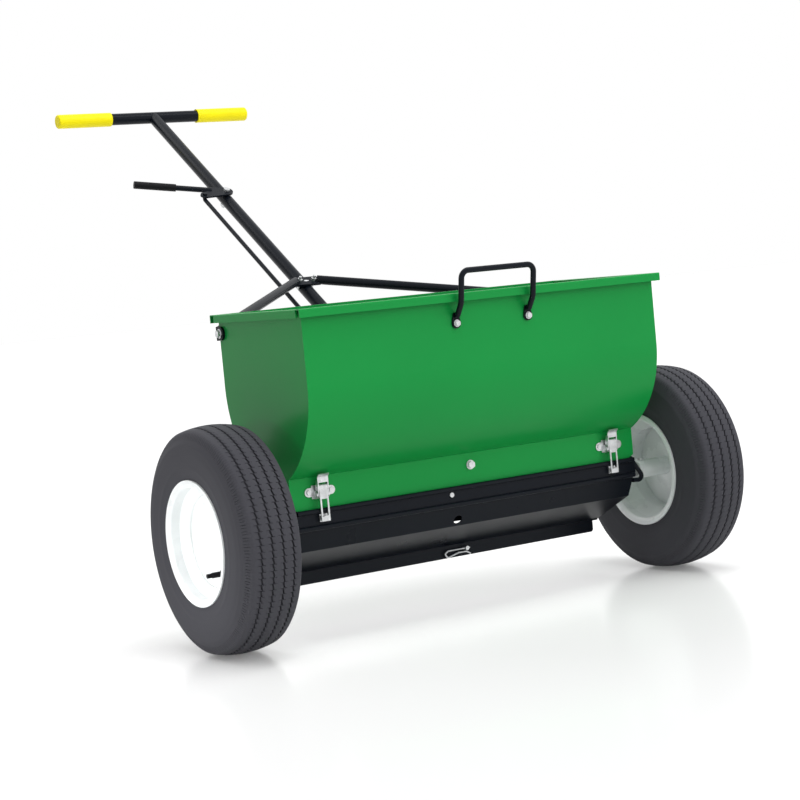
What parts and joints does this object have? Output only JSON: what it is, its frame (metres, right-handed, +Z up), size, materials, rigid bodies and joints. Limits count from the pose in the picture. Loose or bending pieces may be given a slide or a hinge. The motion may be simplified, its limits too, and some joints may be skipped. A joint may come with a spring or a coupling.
{
  "type": "walk-behind seed planter",
  "caption": "Walk-behind drop seeder with a sheet hopper, latched metering trough, pneumatic wheels, T-bar column and shutter lever.",
  "frame": {"origin": "centre of the bounding box on the ground under the machine", "axes": "+X to the machine's side along the axle, +Y from the hopper toward the operator's T-bar, +Z up"},
  "size_m": [1.1104, 1.3739, 1.072],
  "materials": {
    "hopper_green": "gloss enamel",
    "frame_black": "gloss powder coat",
    "rim_white": "gloss enamel",
    "tyre_rubber": "satin rubber",
    "valve_rubber": "matte",
    "zinc": "bright zinc plate",
    "bright_steel": "drawn steel",
    "bush_bronze": "sintered bronze",
    "grip_yellow": "dipped vinyl",
    "lever_vinyl": "dipped vinyl"
  },
  "bodies": {
    "frame": {"hopper_front": "hopper_green", "hopper_rear": "hopper_green", "hopper_end_right": "hopper_green", "hopper_end_left": "hopper_green", "lift_handle": "frame_black", "lift_handle_screws": "zinc", "metering_pan": "frame_black", "front_apron": "frame_black", "trough_end_right": "frame_black", "trough_end_left": "frame_black", "axle_bushes": "bush_bronze", "bush_bolts": "zinc", "slide_guides": "frame_black", "rear_hooks": "zinc", "apron_rivet": "zinc", "latch_rivets": "zinc", "latch_pivot_pins": "zinc", "latch_keepers": "zinc", "latch_base_left": "zinc", "latch_base_right": "zinc", "handle_column": "frame_black", "t_bar": "frame_black", "grip_right": "grip_yellow", "grip_left": "grip_yellow", "brace": "frame_black", "brace_bolts": "zinc", "brace_u_bolt": "zinc", "column_bracket": "frame_black", "column_bolt": "zinc", "neck_bolt": "zinc", "neck_spacer": "zinc", "lever_bolt": "zinc", "crank_bracket": "frame_black", "crank_bolt": "zinc", "end_guard_right": "frame_black", "end_guard_left": "frame_black", "apron_stud": "zinc", "apron_clip": "zinc"},
    "axle_wheel": {"axle": "bright_steel", "rotor": "bright_steel", "drive_pin": "zinc", "right_rim": "rim_white", "right_tyre": "tyre_rubber", "right_valve": "valve_rubber"},
    "left_wheel": {"left_rim": "rim_white", "left_tyre": "tyre_rubber", "left_valve": "valve_rubber", "left_axle_screw": "zinc"},
    "lever": {"control_lever": "frame_black", "lever_grip": "lever_vinyl"},
    "rod": {"control_rod": "frame_black"},
    "crank": {"bell_crank": "zinc"},
    "shutter": {"shutter_slide": "zinc", "slide_pin": "zinc"},
    "latch_left": {"latch_lever_left": "zinc", "latch_link_pin_left": "zinc"},
    "strap_left": {"latch_strap_left": "zinc"},
    "latch_right": {"latch_lever_right": "zinc", "latch_link_pin_right": "zinc"},
    "strap_right": {"latch_strap_right": "zinc"}
  },
  "joints": [
    {"name": "axle_spin", "type": "hinge", "parent": "frame", "child": "axle_wheel", "pos_m": [0, -0.484, 0.203], "axis": [1, 0, 0], "continuous": true},
    {"name": "left_wheel_spin", "type": "hinge", "parent": "axle_wheel", "child": "left_wheel", "pos_m": [-0.496, -0.484, 0.203], "axis": [1, 0, 0], "continuous": true},
    {"name": "control_lever", "type": "hinge", "parent": "frame", "child": "lever", "pos_m": [0, 0.33869, 0.85142], "axis": [0, 0.5534, -0.8329], "range_deg": [0, 21.36]},
    {"name": "control_rod", "type": "slide", "parent": "frame", "child": "rod", "axis": [0, 0.8329, 0.5534], "range_m": [0, 0.02198]},
    {"name": "bell_crank", "type": "hinge", "parent": "frame", "child": "crank", "pos_m": [-0.024, -0.369, 0.199], "axis": [0, 0, -1], "range_deg": [0, 30.1]},
    {"name": "shutter_slide", "type": "slide", "parent": "frame", "child": "shutter", "axis": [-1, 0, 0], "range_m": [0, 0.02046]},
    {"name": "latch_left", "type": "hinge", "parent": "frame", "child": "latch_left", "pos_m": [-0.325, -0.548, 0.262], "axis": [1, 0, 0], "range_deg": [0, 85]},
    {"name": "strap_left", "type": "hinge", "parent": "latch_left", "child": "strap_left", "pos_m": [-0.325, -0.55, 0.276], "axis": [-1, 0, 0], "range_deg": [0, 85]},
    {"name": "latch_right", "type": "hinge", "parent": "frame", "child": "latch_right", "pos_m": [0.325, -0.548, 0.262], "axis": [1, 0, 0], "range_deg": [0, 85]},
    {"name": "strap_right", "type": "hinge", "parent": "latch_right", "child": "strap_right", "pos_m": [0.325, -0.55, 0.276], "axis": [-1, 0, 0], "range_deg": [0, 85]}
  ],
  "couplings": [
    {"joint": "control_rod", "follows": "control_lever", "m_per_rad": 0.058681},
    {"joint": "bell_crank", "follows": "control_lever", "ratio": 1.4045},
    {"joint": "shutter_slide", "follows": "control_lever", "m_per_rad": 0.054627},
    {"joint": "strap_left", "follows": "latch_left", "ratio": 1},
    {"joint": "strap_right", "follows": "latch_right", "ratio": 1}
  ]
}
